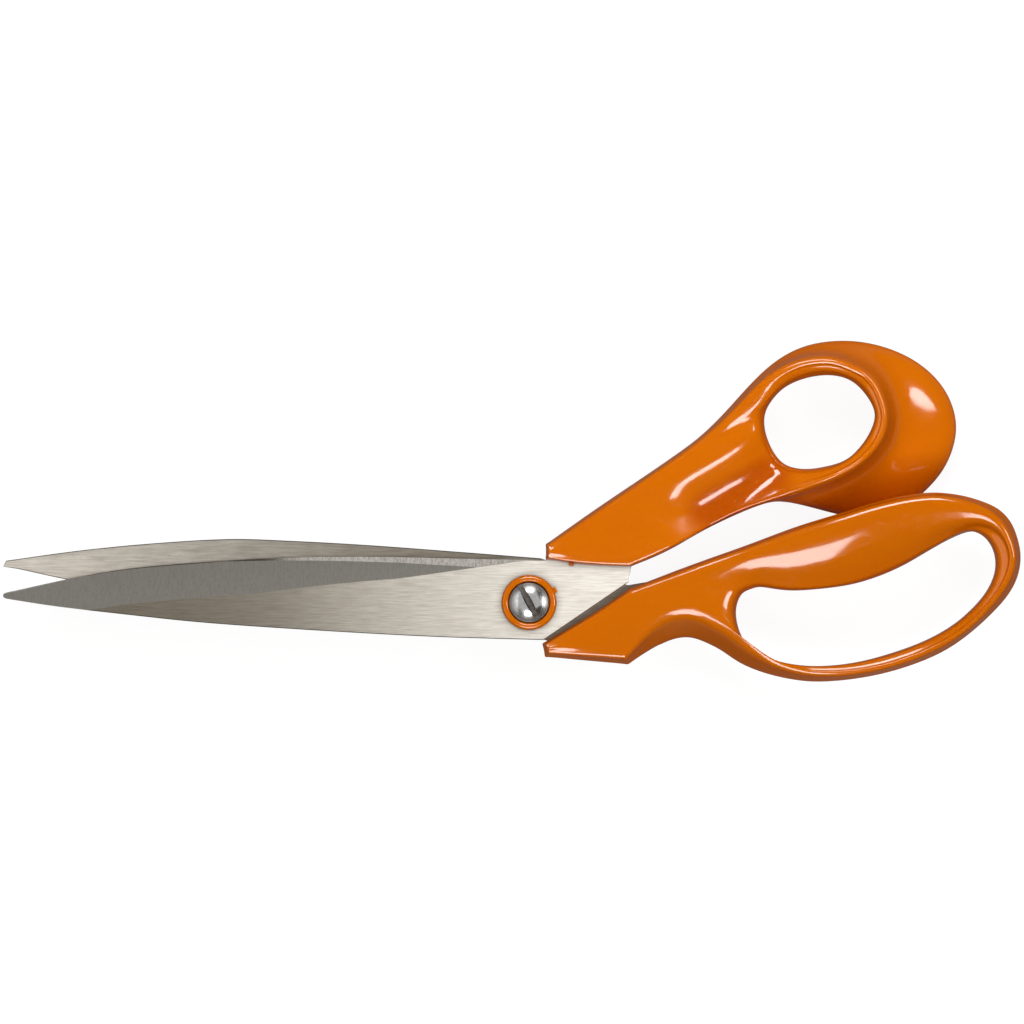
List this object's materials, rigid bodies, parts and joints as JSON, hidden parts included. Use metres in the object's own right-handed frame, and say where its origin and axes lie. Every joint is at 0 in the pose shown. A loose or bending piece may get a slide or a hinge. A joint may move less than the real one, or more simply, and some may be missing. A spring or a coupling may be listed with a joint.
{
  "type": "fabric shears",
  "caption": "Long offset-handle fabric shears with two ground steel blades on a slotted tension screw, a flared thumb ring and a long finger bow.",
  "frame": {"origin": "on the pivot axis, in the rear end face of the tension screw; the two blades meet 6.95 mm above it", "axes": "+X towards the handles (the blades point along -X), +Z out of the front blade's face along the pivot axis, +Y towards the thumb ring; the shears lie flat on their rear side, slightly open"},
  "size_m": [0.2702, 0.0905, 0.0276],
  "materials": {
    "blade_steel": "brushed along the blade on the flats, ground across the edge bevels",
    "orange_plastic": "smooth glossy moulding",
    "bright_steel": "polished"
  },
  "bodies": {
    "finger_half": {"back_blade": "blade_steel", "finger_handle": "orange_plastic", "spring_washer": "bright_steel", "lock_nut": "bright_steel"},
    "thumb_half": {"front_blade": "blade_steel", "thumb_handle": "orange_plastic", "pivot_bush": "orange_plastic"},
    "tension_screw": {"pivot_screw": "bright_steel"}
  },
  "joints": [
    {"name": "blade_pivot", "type": "hinge", "parent": "finger_half", "child": "thumb_half", "pos_m": [0, 0, 0], "axis": [0, 0, 1], "range_deg": [-3.3, 45]},
    {"name": "tension_screw_turn", "type": "hinge", "parent": "finger_half", "child": "tension_screw", "pos_m": [0, 0, 0], "axis": [0, 0, 1], "range_deg": [-90, 90]}
  ]
}
